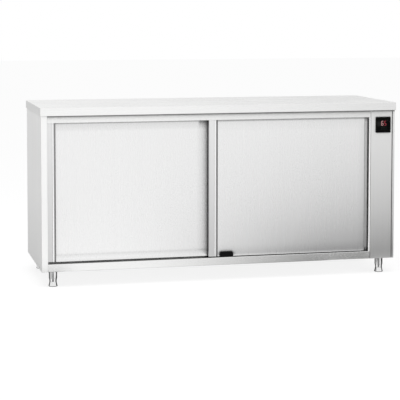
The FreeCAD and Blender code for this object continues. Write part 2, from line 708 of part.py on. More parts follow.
def fan():
    """Motor in the column, impeller and ring heater in the compartment, under a slotted cowl."""
    standoff_end = f"({PARTITION_BACK} + motor_standoff)"
    flange_end = f"({standoff_end} + motor_flange_sheet)"
    bore = ("shaft_radius + bearing_gap", "motor_bore_depth + bearing_gap")
    motor_profile = [("0", bore[1]), bore, (bore[0], "0"), ("motor_radius", "0"),
                     ("motor_radius", "motor_length"), ("0", "motor_length")]
    node("fan_motor", turned("motor", motor_profile, "X", flange_end, FAN_Y, FAN_Z))

    plate = cylinder("motor_flange", "X", "motor_flange_radius", "motor_flange_sheet", standoff_end,
                     FAN_Y, FAN_Z)
    hole = cylinder("motor_flange_hole", "X", "partition_hole_radius", "4 * overrun",
                    f"{standoff_end} - overrun", FAN_Y, FAN_Z)
    reach = f"((motor_flange_radius - standoff_inset) * {DIAGONAL_SHARE})"
    legs = [cylinder(f"standoff_{index}", "X", "standoff_radius", "motor_standoff", PARTITION_BACK,
                     f"{FAN_Y} + ({side_y}) * {reach}", f"{FAN_Z} + ({side_z}) * {reach}")
            for index, (side_y, side_z) in enumerate(((-1, -1), (1, -1), (1, 1), (-1, 1)))]
    node("motor_mount", fuse("mount", cut("motor_plate", plate, hole), *legs))

    disc_x = f"({JAMB_RIGHT} - fan_disc_gap - fan_blade_sheet)"
    node("fan_impeller", impeller(disc_x, flange_end))

    ring = doc.addObject("Part::Torus", "heater_ring")
    bind(ring, Radius1="heater_radius", Radius2="heater_tube_radius")
    ring.Placement = FreeCAD.Placement(FreeCAD.Vector(), TURNS["X"])
    ring_x = f"({disc_x} - fan_width / 2)"
    place(ring, ring_x, FAN_Y, FAN_Z)
    leads = [cylinder(f"heater_lead_{index}", "X", "heater_tube_radius", "heater_lead_length",
                      ring_x, lead_y, LEAD_Z) for index, lead_y in enumerate(LEAD_Y)]
    node("ring_heater", fuse("heater", ring, *leads))

    half = "cowl_side / 2"
    flange = f"({half} + cowl_flange)"
    x = (f"({JAMB_RIGHT} - cowl_depth)", JAMB_RIGHT)
    y = (f"({FAN_Y} - {half})", f"({FAN_Y} + {half})")
    z = (f"({FAN_Z} - {half})", f"({FAN_Z} + {half})")
    shell = box("cowl_block", x, y, z)
    rim_y = (f"({FAN_Y} - {flange})", f"({FAN_Y} + {flange})")
    rim_z = (f"({FAN_Z} - {flange})", f"({FAN_Z} + {flange})")
    rim = box("cowl_rim", (f"({JAMB_RIGHT} - frame_sheet)", JAMB_RIGHT), rim_y, rim_z)
    hollow = box("cowl_hollow", (f"({x[0]} + frame_sheet)", f"({x[1]} + overrun)"),
                 (f"({y[0]} + frame_sheet)", f"({y[1]} - frame_sheet)"),
                 (f"({z[0]} + frame_sheet)", f"({z[1]} - frame_sheet)"))
    vent_half = f"({half} - 2 * cowl_flange)"
    vent_x = (f"({x[0]} + cowl_flange)", f"({x[0]} + cowl_flange + cowl_vent_height)")
    top_vent = box("cowl_vent_upright", vent_x, (f"({FAN_Y} - {vent_half})", f"({FAN_Y} + {vent_half})"),
                   (f"({z[0]} - overrun)", f"({z[1]} + overrun)"))
    side_vent = box("cowl_vent_level", vent_x, (f"({y[0]} - overrun)", f"({y[1]} + overrun)"),
                    (f"({FAN_Z} - {vent_half})", f"({FAN_Z} + {vent_half})"))
    slots = [box(f"cowl_slot_{index}", (f"({x[0]} - overrun)", f"({x[0]} + overrun)"),
                 (f"({FAN_Y} - fan_inlet_radius)", f"({FAN_Y} + fan_inlet_radius)"),
                 (f"({FAN_Z} + {index - COWL_SLOTS // 2} * cowl_slot_pitch - cowl_slot_width / 2)",
                  f"({FAN_Z} + {index - COWL_SLOTS // 2} * cowl_slot_pitch + cowl_slot_width / 2)"))
             for index in range(COWL_SLOTS)]
    node("fan_cowl", cut("cowl", fuse("cowl_form", shell, rim), hollow, top_vent, side_vent, *slots))


def impeller(disc_x, motor_face):
    """Backward-curved centrifugal wheel with its shaft."""
    body = doc.addObject("PartDesign::Body", "impeller")
    hub_end = "fan_width / 2"
    length = f"({motor_face} + motor_bore_depth - ({disc_x} + fan_blade_sheet))"
    outline = [("0", f"-{hub_end}"), ("fan_hub_radius", f"-{hub_end}"), ("fan_hub_radius", "0"),
               ("fan_radius", "0"), ("fan_radius", "fan_blade_sheet"), ("shaft_radius", "fan_blade_sheet"),
               ("shaft_radius", f"fan_blade_sheet + {length}"), ("0", f"fan_blade_sheet + {length}")]
    core = body.newObject("PartDesign::Revolution", "Core")
    drawing = sketch(body, "XZ", outline)
    core.Profile = drawing
    core.ReferenceAxis = (drawing, ["V_Axis"])
    core.Angle = 360
    body.Tip = core
    blade = body.newObject("PartDesign::Pad", "Blade")
    bow, inner, outer, lean = (f"(fan_radius * {share})" for share in BLADE_SHARES)
    gauge = "fan_blade_sheet"
    blade_outline = [(inner, "0", bow), (outer, lean),
                     (f"{outer} + {gauge}", f"{lean} - {gauge} / 2", f"-({bow} + {gauge})"),
                     (f"{inner} + {gauge} / 2", f"-{gauge}")]
    blade.Profile = sketch(body, "XY", blade_outline)
    bind(blade, Length="fan_width")
    blade.Reversed = True
    body.Tip = blade
    ring = body.newObject("PartDesign::PolarPattern", "Blades")
    ring.Originals = [blade]
    ring.Axis = (drawing, ["V_Axis"])
    ring.Angle = 360
    ring.Occurrences = FAN_BLADES
    body.Tip = ring
    body.Placement = FreeCAD.Placement(FreeCAD.Vector(), TURNS["X"])
    return place(body, disc_x, FAN_Y, FAN_Z)


def controls():
    """Touch controller in the fascia, air probe, limit thermostat and terminal block."""
    glass_y = (f"({FRONT} - controller_glass)", FRONT)
    half = "controller_side / 2"
    x = (f"({CONTROLLER_X} - {half})", f"({CONTROLLER_X} + {half})")
    z = (f"({CONTROLLER_Z} - {half})", f"({CONTROLLER_Z} + {half})")
    glass = pad("glass", "XZ", rectangle(x, z), glass_y)
    round_edges(glass, "controller_corner", lambda ends: abs(ends[0].y - ends[1].y) > SAME_LEVEL)
    node("controller_glass", glass)
    housing = controller_block("housing_block", "housing_side / 2", (FRONT, f"({FRONT} + housing_depth)"))
    clips = []
    for side in (-1, 1):
        middle = f"({CONTROLLER_X} + ({side}) * (housing_side + housing_rib) / 2)"
        clip_x = (f"({middle} - housing_rib / 2)", f"({middle} + housing_rib / 2)")
        clip_y = (f"({FRONT} + frame_sheet)", f"({FRONT} + housing_depth / 2)")
        clip_z = (f"({CONTROLLER_Z} - housing_side / 4)", f"({CONTROLLER_Z} + housing_side / 4)")
        clips.append(box(f"housing_clip_{side}", clip_x, clip_y, clip_z))
    node("controller_housing", fuse("housing", housing, *clips))

    tip = f"({JAMB_RIGHT} - probe_length)"
    tube = cylinder("probe_tube", "X", "probe_radius", "probe_length + 2 * probe_nut_length", tip,
                    FAN_Y, PROBE_Z)
    nut = cylinder("probe_nut", "X", "probe_nut_radius", "probe_nut_length",
                   f"{JAMB_RIGHT} - probe_nut_length", FAN_Y, PROBE_Z)
    node("temperature_probe", fuse("probe", tube, nut))

    limiter_z = f"({FAN_Z} + limiter_rise)"
    cap = cylinder("limiter_cap", "X", "limiter_radius", "limiter_height", PARTITION_BACK, FAN_Y, limiter_z)
    ear = box("limiter_ear", (PARTITION_BACK, f"({PARTITION_BACK} + limiter_flange_sheet)"),
              (f"({FAN_Y} - limiter_flange)", f"({FAN_Y} + limiter_flange)"),
              (f"({limiter_z} - limiter_radius)", f"({limiter_z} + limiter_radius)"))
    node("limit_thermostat", fuse("limiter", cap, ear))

    base_z = f"({BOTTOM} + 2 * frame_sheet)"
    block_y = (f"({INNER_BACK} - terminal_inset - terminal_length)", f"({INNER_BACK} - terminal_inset)")
    block_x = (f"({SERVICE_X} - terminal_depth / 2)", f"({SERVICE_X} + terminal_depth / 2)")
    block = box("terminal_body", block_x, block_y, (base_z, f"({base_z} + terminal_height)"))
    screws = []
    for index in range(TERMINALS):
        screw_y = f"({block_y[0]} + terminal_length / 2 + {index - TERMINALS // 2} * terminal_pitch)"
        screws.append(cylinder(f"terminal_screw_{index}", "Z", "terminal_screw_radius",
                               "terminal_screw_depth + overrun", SERVICE_X, screw_y,
                               f"{base_z} + terminal_height - terminal_screw_depth"))
    node("terminal_block", cut("terminals", block, *screws))


def back_fittings():
    """Louvred service cover with its screws, and the cable gland."""
    y = (f"({BACK} - frame_sheet)", BACK)
    plate = service_opening("service_plate", "service_lap", y)
    louvre_x = (f"({SERVICE_X} - louvre_length / 2)", f"({SERVICE_X} + louvre_length / 2)")
    louvre_y = (f"({y[0]} - overrun)", f"({y[1]} + overrun)")
    first = f"({SERVICE_Z} + louvre_margin)"
    pitch = f"(({SERVICE_TOP} - {SERVICE_Z} - 2 * louvre_margin - louvre_height) / {LOUVRES - 1})"
    louvres = []
    for index in range(LOUVRES):
        low = f"({first} + {index} * {pitch})"
        louvres.append(box(f"louvre_{index}", louvre_x, louvre_y, (low, f"({low} + louvre_height)")))
    node("service_cover", cut("service_sheet", plate, *louvres))

    reach_x = "(service_width / 2 + service_lap / 2)"
    heads = [cylinder(f"cover_screw_{index}", "Y", "cover_screw_radius", "cover_screw_head",
                      f"{SERVICE_X} + ({side}) * {reach_x}", BACK, level)
             for index, (side, level) in enumerate(((-1, SERVICE_Z), (1, SERVICE_Z),
                                                    (1, SERVICE_TOP), (-1, SERVICE_TOP)))]
    node("cover_screws", group("screws", *heads))
    outline = [("gland_bore", "-gland_tail"), ("gland_radius", "-gland_tail"), ("gland_radius", "0"),
               ("gland_nut_radius", "0"), ("gland_nut_radius", "gland_nut_length"),
               ("gland_bore", "gland_nut_length")]
    node("cable_gland", turned("gland", outline, "Y", SERVICE_X, f"{BACK} - frame_sheet", GLAND_Z))


def legs():
    """Fixed leg sleeves under the base, and the feet that screw out of them."""
    flange_top = f"({BOTTOM} + frame_sheet)"
    flange = f"({flange_top} - leg_flange_sheet)"
    bore = "(leg_radius - leg_wall)"
    socket = [(bore, "foot_height"), ("leg_radius", "foot_height"), ("leg_radius", flange),
              ("leg_flange_radius", flange), ("leg_flange_radius", flange_top), ("0", flange_top),
              ("0", flange), (bore, flange)]
    stem = f"({bore} - curved_gap)"
    shoulder = "(foot_height - curved_gap)"
    stem_top = "(foot_height + foot_stem_length)"
    foot = [("0", "0"), ("foot_bottom_radius - foot_edge", "0"), ("foot_bottom_radius", "foot_edge"),
            ("foot_bottom_radius", "foot_rim_height", "foot_height"),
            ("foot_waist_radius", "foot_waist_height", "foot_height"),
            ("leg_radius - foot_edge / 2", shoulder), (stem, shoulder), (stem, stem_top), ("0", stem_top)]
    for corner, side_x, side_y in CORNERS:
        x = f"(({side_x}) * (overall_length / 2 - leg_inset_side))"
        y = f"({FRONT} + leg_inset_end)" if side_y < 0 else f"({BACK} - leg_inset_end)"
        node(f"leg_socket_{corner}", turned(f"socket_{corner}", socket, "Z", x, y, "0"))
        node(f"foot_{corner}", turned(f"adjuster_{corner}", foot, "Z", x, y, "0"))


worktop()
outer_shell()
inner_shell()
shelving()
door_track()
track_stops()
for door_name, door_edge, door_lane_number, _ in DOORS:
    door(door_name, door_edge, door_lane_number)
bottom_guide()
fan()
controls()
back_fittings()
legs()

doc.recompute()
for item in doc.Objects:
    if "Invalid" in item.State or "Error" in item.State:
        raise RuntimeError(f"{item.Name} ({item.Label}) did not compute: {item.State}")
os.makedirs("parts", exist_ok=True)
for piece in nodes:
    if piece.Shape.isNull() or not piece.Shape.isValid():
        raise RuntimeError(f"{piece.Label} has no valid shape")
    piece.Shape.exportStep(f"parts/{piece.Label}.step")
    print(piece.Label, len(piece.Shape.Solids), round(piece.Shape.Volume / 1000, 1), "cm3")
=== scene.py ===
import math

import bmesh
import bpy
from mathutils import Matrix, Vector


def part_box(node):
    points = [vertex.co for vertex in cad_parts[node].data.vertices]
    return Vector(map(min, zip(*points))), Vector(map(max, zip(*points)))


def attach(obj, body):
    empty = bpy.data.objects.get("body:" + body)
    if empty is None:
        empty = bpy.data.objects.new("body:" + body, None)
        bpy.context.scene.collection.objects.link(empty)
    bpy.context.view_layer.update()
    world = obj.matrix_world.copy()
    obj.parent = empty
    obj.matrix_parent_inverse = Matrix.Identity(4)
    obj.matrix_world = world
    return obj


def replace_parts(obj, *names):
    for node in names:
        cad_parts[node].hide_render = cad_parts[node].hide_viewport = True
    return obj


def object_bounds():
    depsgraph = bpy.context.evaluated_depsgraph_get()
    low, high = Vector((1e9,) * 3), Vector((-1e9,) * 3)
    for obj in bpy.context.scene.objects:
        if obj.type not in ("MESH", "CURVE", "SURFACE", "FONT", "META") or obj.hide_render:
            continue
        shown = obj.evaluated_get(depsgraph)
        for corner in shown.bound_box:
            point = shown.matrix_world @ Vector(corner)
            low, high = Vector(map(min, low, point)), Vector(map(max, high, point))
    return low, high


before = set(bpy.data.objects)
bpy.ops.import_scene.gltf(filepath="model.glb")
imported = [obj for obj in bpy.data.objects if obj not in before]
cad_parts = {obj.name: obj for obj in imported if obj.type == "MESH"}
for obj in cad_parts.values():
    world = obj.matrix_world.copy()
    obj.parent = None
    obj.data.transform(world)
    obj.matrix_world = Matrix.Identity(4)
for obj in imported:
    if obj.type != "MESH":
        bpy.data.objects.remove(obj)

solid_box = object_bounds()


# Worktop: one stainless sheet with its edges folded down and in, ground at the
# corners, glued on a chipboard core. The sheet is brushed along its length and
# carries the fine hairlines and wiping marks of a surface in use.
def plug(tree, node, sockets):
    """Fills a node's sockets: another node's output is linked, any other value is set."""
    for name, value in sockets.items():
        if isinstance(value, bpy.types.NodeSocket):
            tree.links.new(value, node.inputs[name])
        else:
            node.inputs[name].default_value = value


def add(tree, kind, sockets, **options):
    """Adds a shader node with its options and sockets."""
    made = tree.nodes.new(f"ShaderNode{kind}")
    for name, value in options.items():
        setattr(made, name, value)
    plug(tree, made, sockets)
    return made


def noise(tree, place, scale, detail, **sockets):
    """Noise between 0 and 1 at a place."""
    return add(tree, "TexNoise", {"Vector": place, "Scale": scale, "Detail": detail, **sockets}).outputs[0]


def spread(tree, value, low, high, start=0.3, end=0.7, **options):
    """Spreads a value that runs from start to end between two other ends."""
    return add(tree, "MapRange", {"Value": value, "From Min": start, "From Max": end, "To Min": low,
                                  "To Max": high}, **options).outputs["Result"]


def maths(tree, kind, *values):
    """What a kind of sum makes of one or two values."""
    return add(tree, "Math", dict(enumerate(values)), operation=kind).outputs[0]


def scaled(tree, colour, value):
    """A colour made lighter or darker by a value."""
    return add(tree, "VectorMath", {0: colour, "Scale": value}, operation="SCALE").outputs[0]


def two_tone(tree, value, dark, light):
    """A colour between a dark and a light one."""
    shade = add(tree, "ValToRGB", {"Fac": value})
    for stop, colour in zip(shade.color_ramp.elements, (dark, light)):
        stop.color = (*colour, 1)
    return shade.outputs[0]


def relief(tree, height, strength, depth):
    """Fine relief of a surface, from a height that changes over it."""
    return add(tree, "Bump", {"Height": height, "Strength": strength, "Distance": depth}).outputs[0]


def value_at(tree, place, setting):
    """A setting's value: some settings are numbers, others are functions of the place."""
    return setting(tree, place) if callable(setting) else setting


def effect(name, inputs, outputs):
    """Starts a shared effect: its tree, what it is given, and the node that takes what it puts out."""
    tree = bpy.data.node_groups.new(name, "ShaderNodeTree")
    for side, sockets in (("INPUT", inputs), ("OUTPUT", outputs)):
        for label, kind in sockets.items():
            tree.interface.new_socket(label, in_out=side, socket_type=f"NodeSocket{kind}")
    return tree, tree.nodes.new("NodeGroupInput").outputs, tree.nodes.new("NodeGroupOutput")


def empty_material(name):
    """Material with nothing but the place on the piece."""
    material = bpy.data.materials.new(name)
    material.use_nodes = True
    tree = material.node_tree
    tree.nodes.clear()
    return material, tree, tree.nodes.new("ShaderNodeTexCoord").outputs["Object"]


def new_material(name):
    """Material with the place on the piece and a shader that feeds its output."""
    material, tree, place = empty_material(name)
    surface = tree.nodes.new("ShaderNodeBsdfPrincipled")
    add(tree, "OutputMaterial", {"Surface": surface.outputs["BSDF"]})
    return material, tree, place, surface


brushing, given, wanted = effect(
    "brushed grain", {"Grain place": "Vector", "Place": "Vector", "Colour": "Color", "Roughness": "Float"},
    {"Colour": "Color", "Roughness": "Float", "Height": "Float"})
fine = noise(brushing, given["Grain place"], 1, 5, Roughness=0.65)
streak = noise(brushing, given["Grain place"], 0.13, 2)
cloud = noise(brushing, given["Place"], 2.3, 3)
tone = maths(brushing, "MULTIPLY", spread(brushing, fine, 0.99, 1.007),
             spread(brushing, streak, 0.994, 1.004))
tone = maths(brushing, "MULTIPLY", tone, spread(brushing, cloud, 0.99, 1.008))
rough = maths(brushing, "ADD", given["Roughness"], spread(brushing, fine, -0.02, 0.025))
rough = maths(brushing, "ADD", rough, spread(brushing, cloud, -0.015, 0.02))
colour = scaled(brushing, given["Colour"], tone)
plug(brushing, wanted, {"Colour": colour, "Roughness": rough, "Height": fine})

hairlines, given, wanted = effect("hairlines", {"Place": "Vector", "Spacing": "Float"}, {"Mask": "Float"})
lines = []
for turn, stretch in ((0.35, 7), (-0.6, 5)):
    turned = add(hairlines, "Mapping", {"Vector": given["Place"], "Rotation": (0, 0, turn),
                                        "Scale": (1, stretch, stretch)}).outputs[0]
    bend = noise(hairlines, turned, given["Spacing"], 2, Distortion=0.6)
    off = maths(hairlines, "ABSOLUTE", maths(hairlines, "SUBTRACT", bend, 0.5))
    lines.append(spread(hairlines, off, 1, 0, 0.0015, 0.005))
plug(hairlines, wanted, {"Mask": maths(hairlines, "MAXIMUM", *lines)})

# Painted shade: an ambient-occlusion pass darkens a colour where corners, grooves and gaps hide it.
cavity, given, wanted = effect("cavity shade", {"Colour": "Color", "Reach": "Float", "Floor": "Float",
                                                "Start": "Float", "End": "Float"}, {"Colour": "Color"})
covered = add(cavity, "AmbientOcclusion", {"Distance": given["Reach"]}, samples=6).outputs["AO"]
shade = spread(cavity, covered, given["Floor"], 1, given["Start"], given["End"])
plug(cavity, wanted, {"Colour": scaled(cavity, given["Colour"], shade)})


def sheltered(tree, place, colour, **changes):
    """Paints shade into a colour in corners, grooves and gaps."""
    settings = {"Reach": 0.035, "Floor": 0.3, "Start": 0.42, "End": 0.92, **changes}
    values = {label: value_at(tree, place, setting) for label, setting in settings.items()}
    return add(tree, "Group", {"Colour": colour, **values}, node_tree=cavity).outputs["Colour"]


ALONG_GRAIN, ACROSS_GRAIN = 2.2, 340
LENGTHWISE = {"grain": (ALONG_GRAIN, ACROSS_GRAIN, ACROSS_GRAIN), "tangent": (0.01, 1, 1)}
UPRIGHT = {"grain": (ACROSS_GRAIN, ACROSS_GRAIN, ALONG_GRAIN), "tangent": (1, 1, 0.01)}


def brushed_steel(name, colour, run, roughness, lines=0, **shade):
    """Brushed stainless steel, its grain lengthwise or upright, with a share of hairline scratches and
    painted shade in its corners, grooves and gaps.
    """
    material, tree, place, surface = new_material(name)
    grain = add(tree, "Mapping", {"Vector": place, "Scale": run["grain"]}).outputs[0]
    sheet = add(tree, "Group", {"Grain place": grain, "Place": place, "Colour": (*colour, 1),
                                "Roughness": roughness}, node_tree=brushing).outputs
    marked = sheet["Roughness"]
    if lines:
        scratches = add(tree, "Group", {"Place": place, "Spacing": 9}, node_tree=hairlines).outputs["Mask"]
        marked = maths(tree, "ADD", marked, maths(tree, "MULTIPLY", scratches, lines))
    tangent = add(tree, "CombineXYZ", dict(zip("XYZ", run["tangent"]))).outputs[0]
    plug(tree, surface, {"Base Color": sheltered(tree, place, sheet["Colour"], **shade), "Roughness": marked,
                         "Normal": relief(tree, sheet["Height"], 0.022, 0.0002), "Tangent": tangent,
                         "Metallic": 1, "Anisotropic": 0.6})
    return material


def dress(node, material):
    """Gives a CAD node its material."""
    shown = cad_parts[node]
    shown.data.materials.clear()
    shown.data.materials.append(material)


def finished(name, shape, body, slot, *materials):
    """Turns a shape into a piece that rides on a body, shaded smooth between its sharp edges."""
    bmesh.ops.recalc_face_normals(shape, faces=shape.faces)
    mesh = bpy.data.meshes.new(name)
    shape.to_mesh(mesh)
    shape.free()
    for material in materials:
        mesh.materials.append(material)
    mesh.shade_smooth()
    mesh.set_sharp_from_angle(angle=math.radians(35))
    piece = bpy.data.objects.new(name, mesh)
    bpy.context.scene.collection.objects.link(piece)
    even = piece.modifiers.new("even shading", "WEIGHTED_NORMAL")
    even.keep_sharp = True
    even.weight = 100
    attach(piece, body)
    return piece


SAME_PLACE = 0.000002
SHARP_BEND = math.radians(60)


def merged(node):
    """Merged copy of a CAD node's mesh, with each flat face in one piece."""
    shape = bmesh.new()
    shape.from_mesh(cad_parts[node].data)
    bmesh.ops.remove_doubles(shape, verts=shape.verts, dist=SAME_PLACE)
    bmesh.ops.dissolve_limit(shape, angle_limit=math.radians(0.5), verts=shape.verts, edges=shape.edges)
    return shape


def bent_edges(shape, width):
    """Edges between two faces that are both wider than a width: the bends of a folded sheet."""
    found = []
    for edge in shape.edges:
        if len(edge.link_faces) == 2 and edge.calc_face_angle(0) > SHARP_BEND:
            widths = [face.calc_area() / max(side.calc_length() for side in face.edges)
                      for face in edge.link_faces]
            if min(widths) > width:
                found.append(edge)
    return found


def rounded(shape, edges, radius, steps=3):
    """Rounds edges of a shape."""
    bmesh.ops.bevel(shape, geom=edges, offset=radius, offset_type="OFFSET", segments=steps, profile=0.5,
                    affect="EDGES", clamp_overlap=True, material=-1)


def folded(node, material, slot="outer_steel", radius=0.0012, second=None, where=None):
    """A sheet-metal node with its bends rounded. Faces that a test picks get a second material."""
    shape = merged(node)
    rounded(shape, bent_edges(shape, 0.003), radius)
    materials = [material, second] if second else [material]
    piece = finished(f"{node}_sheet", shape, "cabinet", slot, *materials)
    if second:
        for face in piece.data.polygons:
            face.material_index = 1 if where(face) else 0
    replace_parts(piece, node)


def faces_sideways(face):
    """Whether a face looks left or right."""
    return abs(face.normal.x) > 0.7


top_steel = brushed_steel("worktop steel", (0.885, 0.885, 0.88), LENGTHWISE, 0.27, lines=0.12)
# The worktop's end faces get a darker copy of its steel: painted shade on the faces that look sideways.
shaded_end_steel = brushed_steel("worktop end steel painted shade", (0.79, 0.79, 0.785), LENGTHWISE, 0.33)
folded("worktop", top_steel, radius=0.0015, second=shaded_end_steel, where=faces_sideways)

board, tree, place, surface = new_material("chipboard")
chips = add(tree, "TexVoronoi", {"Vector": place, "Scale": 240}).outputs
flecks = maths(tree, "MULTIPLY", chips["Color"], noise(tree, place, 90, 4))
plug(tree, surface, {"Base Color": two_tone(tree, flecks, (0.2, 0.12, 0.06), (0.62, 0.46, 0.28)),
                     "Roughness": 0.8, "Normal": relief(tree, chips["Distance"], 0.4, 0.0006)})
dress("worktop_core", board)


# Outer case: side panels that fold round into the front stiles, the two front
# rails, the jamb and the control column's fascia, spot-welded together. The
# rails are brushed along their length, the upright parts from top to bottom.
def even_grey(tree, value):
    """The grey of a value."""
    return add(tree, "CombineColor", {"Red": value, "Green": value, "Blue": value}).outputs[0]


# Painted shade: the top rail and the column are darkened in a band close under the worktop's edge.
eaves = {"Reach": 0.045, "Floor": 0.12, "End": 1}      # the shade close under the worktop
folded("top_rail", brushed_steel("rail steel", (0.91, 0.91, 0.905), LENGTHWISE, 0.3, lines=0.05, Start=0.78,
                                 **eaves))
sill_steel = brushed_steel("sill steel", (0.85, 0.85, 0.845), LENGTHWISE, 0.22, lines=0.05, Floor=0.8)
# The sill's upward faces are painted near black: painted shade on the ledge in front of and under the doors.
ledge, tree, place, surface = new_material("sill ledge painted shade")
ledge_shade_tone = spread(tree, noise(tree, place, 200, 4), 0.004, 0.009)
plug(tree, surface, {"Base Color": even_grey(tree, ledge_shade_tone), "Roughness": 0.8, "Specular IOR Level": 0.03})
folded("sill", sill_steel, radius=0.0022, second=ledge, where=lambda face: face.normal.z > 0.9)

column_steel = brushed_steel("column steel", (0.82, 0.82, 0.815), UPRIGHT, 0.3, lines=0.05, Start=0.69,
                             **eaves)
# A lighter copy of the column steel on the faces that look sideways: painted light.
lit_side_steel = brushed_steel("side steel painted light", (0.95, 0.95, 0.95), UPRIGHT, 0.3, Floor=1)      # narrow folded edges
outer_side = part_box("side_panel_right")[1].x - 0.003
folded("side_panel_right", column_steel, second=lit_side_steel,
       where=lambda face: faces_sideways(face) and face.center.x < outer_side)
folded("control_fascia", column_steel, second=lit_side_steel, where=faces_sideways)
# The jamb's steel is lighter than the column's: painted light on the face that looks left.
folded("right_jamb", brushed_steel("jamb steel", (0.9, 0.9, 0.9), UPRIGHT, 0.18, Floor=0.8))
# The left panel's front stile gets a lighter copy of the case steel than its side: painted light.
case_steel = brushed_steel("case steel", (0.85, 0.85, 0.845), UPRIGHT, 0.3, lines=0.05, Floor=0.6)
lit_stile_steel = brushed_steel("stile steel painted light", (0.93, 0.93, 0.925), UPRIGHT, 0.3, lines=0.05, Floor=0.6)
folded("side_panel_left", case_steel, second=lit_stile_steel, where=lambda face: face.normal.y < -0.7)
plain_steel = brushed_steel("plain sheet", (0.74, 0.74, 0.735), LENGTHWISE, 0.38, lines=0.06)
for node in ("back_panel", "base_panel", "track_carrier"):
    dress(node, plain_steel)


# Doors: a skin folded from one sheet, with a finger groove near the left edge
# and a low step along the right one, closed by a pan at the back over a wool
# core. Each hangs from two zinc-plated brackets with nylon wheels.
def axes_of(tree, place):
    """X, Y and Z of a place."""
    return add(tree, "SeparateXYZ", {"Vector": place}).outputs


def by_height(low, high, start, end):
    """A setting that changes between two heights."""
    return lambda tree, place: spread(tree, axes_of(tree, place)["Z"], low, high, start, end)


# Painted shade on the doors, beside the right door and under the rail:
BESIDE_RIGHT_DOOR = -0.085      # place across of the shaded band on the left door
RAIL_SHADE = (0.74, 0.78)       # heights between which the shade under the rail gets lighter
RAIL_LINE = (0.785, 0.789)      # heights between which it gets dark again, close under the rail


def door_shade(tree, place):
    """Painted shade on the doors: darkest beside the other door and in a line under the rail, lighter between
    the two.
    """
    axes = axes_of(tree, place)
    top = maths(tree, "MULTIPLY", spread(tree, axes["Z"], 0.08, 0.72, *RAIL_SHADE),
                spread(tree, axes["Z"], 1, 0.35, *RAIL_LINE))
    apart = maths(tree, "ABSOLUTE", maths(tree, "SUBTRACT", axes["X"], BESIDE_RIGHT_DOOR))
    return maths(tree, "MINIMUM", top, spread(tree, apart, 0.08, 1, 0.022, 0.036))


door_steel = brushed_steel("door steel", (0.85, 0.85, 0.85), UPRIGHT, 0.27, lines=0.04, Start=0.56, End=0.93,
                           Reach=by_height(0.002, 0.06, 0.118, 0.15), Floor=door_shade)
# The edge strips get a painted gradient of light and shade: darker towards the bottom, a little lighter than
# their own colour near the top.
strip_steel_painted_shade = brushed_steel("door edge steel painted shade", (0.78, 0.78, 0.78), UPRIGHT, 0.3, lines=0.06, Reach=0.02,
                            Start=1.5, End=2, Floor=by_height(0.86, 1.04, 0.15, 0.75))
# A lighter copy of the door steel on the lip beside the groove: a painted highlight.
lit_lip_steel = brushed_steel("door lip steel painted highlight", (0.97, 0.97, 0.97), UPRIGHT, 0.26, Floor=0.8)
# A darker copy of the door steel in the finger groove, with painted shade.
groove_steel_painted_shade = brushed_steel("door groove steel painted shade", (0.8, 0.8, 0.8), UPRIGHT, 0.4, Floor=0.6)
# The step along the right edge is painted nearly black where the jamb shelters it: painted shade.
step_steel_painted_shade = brushed_steel("door step steel painted shade", (0.84, 0.84, 0.84), UPRIGHT, 0.32, Reach=0.03, Floor=0.04,
                           Start=0.6, End=0.9)
pan_steel = brushed_steel("door pan steel", (0.72, 0.72, 0.715), UPRIGHT, 0.38)

wool, tree, place, surface = new_material("mineral wool")
layers = add(tree, "Mapping", {"Vector": place, "Scale": (1, 3, 1)}).outputs[0]
tufts = noise(tree, layers, 160, 6, Distortion=1.2)
plug(tree, surface, {"Base Color": two_tone(tree, tufts, (0.3, 0.25, 0.14), (0.75, 0.68, 0.48)),
                     "Roughness": 0.95, "Normal": relief(tree, tufts, 0.8, 0.002)})


def mottled(name, colour, roughness, grain, patches, metallic=1):
    """Plated, drawn or painted metal, or turned plastic or rubber, with a mottled tone."""
    material, tree, place, surface = new_material(name)
    spots = noise(tree, place, grain, 4)
    plug(tree, surface, {"Base Color": scaled(tree, colour, spread(tree, spots, 1 - patches, 1 + patches)),
                         "Roughness": spread(tree, spots, roughness - 0.06, roughness + 0.08),
                         "Metallic": metallic, "Normal": relief(tree, spots, 0.15, 0.0003)})
    return material


zinc = mottled("zinc plate", (0.62, 0.63, 0.66), 0.38, grain=60, patches=0.12)
nylon = mottled("wheel nylon", (0.82, 0.82, 0.78), 0.45, grain=300, patches=0.03, metallic=0)
strip_end, lip_end, groove_end, step_width = 0.0278, 0.0347, 0.0433, 0.0172
axle_radius = 0.0035
doors = {door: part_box(f"{door}_skin") for door in ("left_door", "right_door")}
for door, (low, high) in doors.items():
    shape = merged(f"{door}_skin")
    rounded(shape, bent_edges(shape, 0.0025), 0.0009)
    ends = (low.x + strip_end, low.x + lip_end, low.x + groove_end, high.x - step_width)
    skin = finished(f"{door}_front", shape, door, "door_steel", strip_steel_painted_shade, lit_lip_steel, groove_steel_painted_shade,
                    door_steel, step_steel_painted_shade)
    for face in skin.data.polygons:
        face.material_index = sum(face.center.x > end for end in ends)
    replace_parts(skin, f"{door}_skin")
    dress(f"{door}_pan", pan_steel)
    dress(f"{door}_core", wool)
    dress(f"{door}_hangers", zinc)
    for side in ("left", "right"):
        shape = merged(f"{door}_roller_{side}")
        axle = sum(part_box(f"{door}_roller_{side}"), Vector()) / 2
        roller = finished(f"{door}_wheels_{side}", shape, f"{door}_roller_{side}", "roller_nylon",
                          nylon, zinc)
        for face in roller.data.polygons:
            reach = max((roller.data.vertices[corner].co - axle).xz.length for corner in face.vertices)
            face.material_index = 1 if reach < axle_radius else 0
        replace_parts(roller, f"{door}_roller_{side}")


